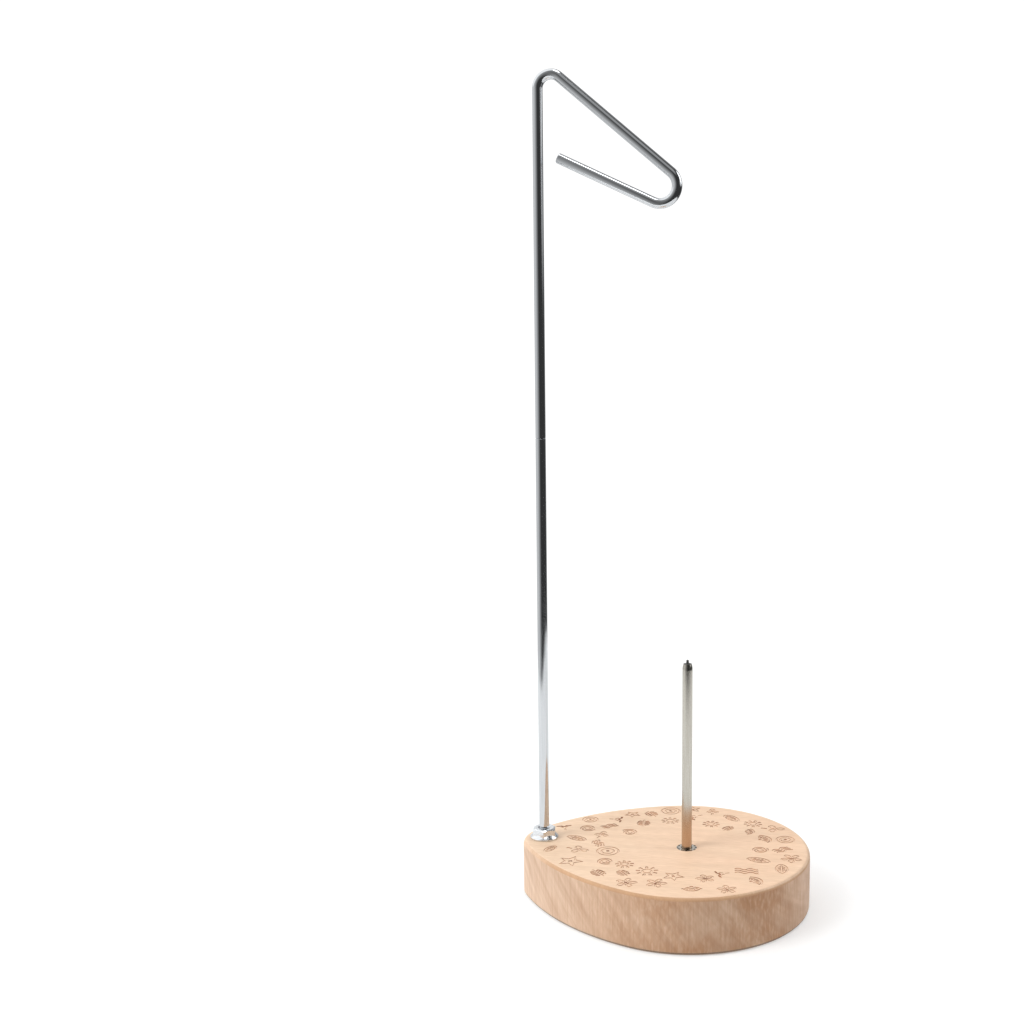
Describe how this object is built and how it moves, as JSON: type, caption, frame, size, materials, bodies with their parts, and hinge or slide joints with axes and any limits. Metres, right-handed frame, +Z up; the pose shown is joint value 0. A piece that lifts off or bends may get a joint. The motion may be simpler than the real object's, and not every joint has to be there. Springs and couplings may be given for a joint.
{
  "type": "spool thread stand",
  "caption": "Thread stand: drop-shaped wooden base with an upright spool pin and a tall screwed rod bent at the top into an open wire eye that leads thread up off the spool.",
  "frame": {"origin": "on the flat underside of the base, on the axis of the spool pin", "axes": "+Z up along the spool pin, -X from the pin towards the narrow end of the base and the guide rod"},
  "size_m": [0.1053, 0.089, 0.2953],
  "materials": {
    "pale_wood": "sanded beech, satin, with fine engraved line motifs",
    "zinc_plate": "bright zinc",
    "bright_steel": "polished"
  },
  "bodies": {
    "base": {"base_block": "pale_wood", "pin_insert": "zinc_plate", "rod_insert": "zinc_plate"},
    "pin": {"spool_pin": "bright_steel"},
    "rod": {"guide_rod_lower": "bright_steel"},
    "guide": {"guide_rod_upper": "bright_steel"},
    "nut": {"lock_nut": "zinc_plate"}
  },
  "joints": [
    {"name": "rod_turn", "type": "hinge", "parent": "base", "child": "rod", "pos_m": [-0.0534, 0, 0.02], "axis": [0, 0, 1], "range_deg": [-180, 180]},
    {"name": "guide_turn", "type": "hinge", "parent": "rod", "child": "guide", "pos_m": [-0.0534, 0, 0.168], "axis": [0, 0, 1], "range_deg": [0, 360]},
    {"name": "nut_turn", "type": "hinge", "parent": "rod", "child": "nut", "pos_m": [-0.0534, 0, 0.02], "axis": [0, 0, 1], "range_deg": [0, 360]},
    {"name": "pin_turn", "type": "hinge", "parent": "base", "child": "pin", "pos_m": [0, 0, 0.02], "axis": [0, 0, 1], "range_deg": [0, 360]}
  ]
}
